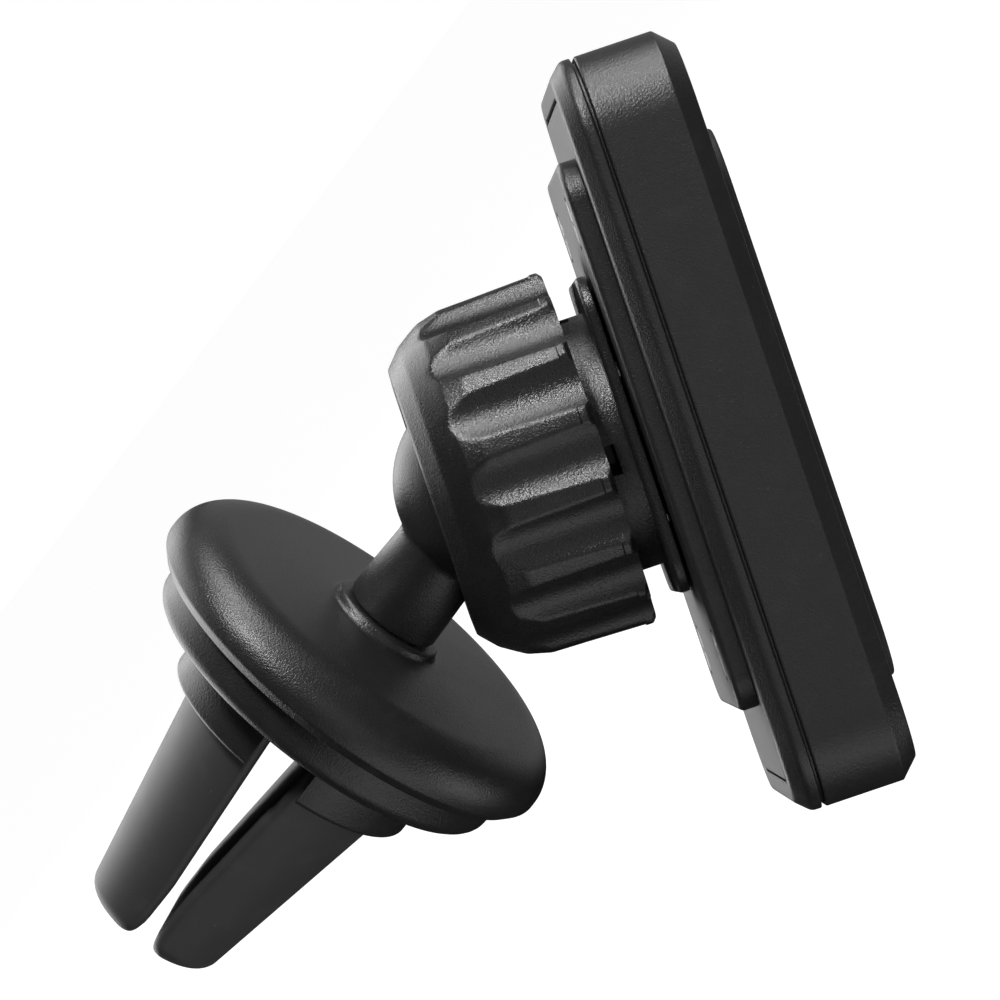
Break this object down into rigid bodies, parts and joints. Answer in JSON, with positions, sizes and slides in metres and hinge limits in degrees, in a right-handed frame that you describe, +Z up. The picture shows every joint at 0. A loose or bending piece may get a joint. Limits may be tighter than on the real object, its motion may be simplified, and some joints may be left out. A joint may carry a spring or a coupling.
{
  "type": "car phone mount",
  "caption": "Magnetic phone mount for a car's air vent: a two-prong clip on a round disc, a ball joint tightened by a fluted nut, and a rectangular magnetic plate.",
  "frame": {"origin": "centre of the clip disc's outer face, between the prongs, where the louvre's edge stops", "axes": "+Y out of that face, along the prongs into the vent; +X along the louvre; +Z up, across the gap between the prongs"},
  "size_m": [0.0592, 0.0881, 0.0591],
  "materials": {
    "black_plastic": "fine satin grain",
    "prong_rubber": "soft matt",
    "pad_rubber": "matt, slightly tacky",
    "bright_steel": "zinc plated, satin",
    "nickel_plate": "bright nickel plate",
    "nylon": "natural nylon"
  },
  "bodies": {
    "clip": {"clip_base": "black_plastic", "dome_cover": "black_plastic", "clip_screw_left": "bright_steel", "clip_screw_right": "bright_steel", "friction_washer": "nylon"},
    "prong_upper": {"prong_core_upper": "black_plastic", "prong_sleeve_upper": "prong_rubber"},
    "prong_lower": {"prong_core_lower": "black_plastic", "prong_sleeve_lower": "prong_rubber"},
    "stem": {"ball_stem": "black_plastic", "stem_washer": "bright_steel", "stem_screw": "bright_steel"},
    "seat": {"ball_seat": "nylon"},
    "head": {"socket_collet": "black_plastic", "seat_spring": "bright_steel", "collet_screw_1": "bright_steel", "collet_screw_2": "bright_steel", "collet_screw_3": "bright_steel", "collet_screw_4": "bright_steel", "rear_bracket": "black_plastic", "bracket_screw_1": "bright_steel", "bracket_screw_2": "bright_steel", "bracket_screw_3": "bright_steel", "bracket_screw_4": "bright_steel", "rear_inlay": "black_plastic", "rear_cover": "black_plastic", "front_housing": "black_plastic", "front_pad": "pad_rubber", "yoke_plate": "bright_steel", "magnet_tray": "black_plastic", "magnet_1": "nickel_plate", "magnet_2": "nickel_plate", "magnet_3": "nickel_plate", "magnet_4": "nickel_plate", "magnet_5": "nickel_plate", "magnet_6": "nickel_plate"},
    "slip_ring": {"slip_ring": "nylon"},
    "nut": {"grip_nut": "black_plastic"}
  },
  "joints": [
    {"name": "prong_upper_flex", "type": "hinge", "parent": "clip", "child": "prong_upper", "pos_m": [0, -0.001, 0.005], "axis": [1, 0, 0], "range_deg": [0, 3], "stiffness_Nm_per_rad": 1.5},
    {"name": "prong_lower_flex", "type": "hinge", "parent": "clip", "child": "prong_lower", "pos_m": [0, -0.001, -0.005], "axis": [-1, 0, 0], "range_deg": [0, 3], "stiffness_Nm_per_rad": 1.5},
    {"name": "stem_swing", "type": "hinge", "parent": "clip", "child": "stem", "pos_m": [0, -0.0244, 0], "axis": [0, 1, 0], "continuous": true},
    {"name": "ball_tilt", "type": "hinge", "parent": "stem", "child": "seat", "pos_m": [0, -0.0244, 0], "axis": [0.9335, 0, 0.3585], "range_deg": [-73.3, 0.5]},
    {"name": "head_spin", "type": "hinge", "parent": "seat", "child": "head", "pos_m": [0, -0.0244, 0], "axis": [0.215, -0.8003, -0.5597], "continuous": true},
    {"name": "ring_slide", "type": "slide", "parent": "head", "child": "slip_ring", "axis": [0.215, -0.8003, -0.5597], "range_m": [0, 0.0015]},
    {"name": "nut_turn", "type": "hinge", "parent": "slip_ring", "child": "nut", "pos_m": [0, -0.0244, 0], "axis": [0.215, -0.8003, -0.5597], "range_deg": [0, 360]}
  ],
  "couplings": [
    {"joint": "nut_turn", "follows": "ring_slide", "rad_per_m": 4188.8}
  ]
}
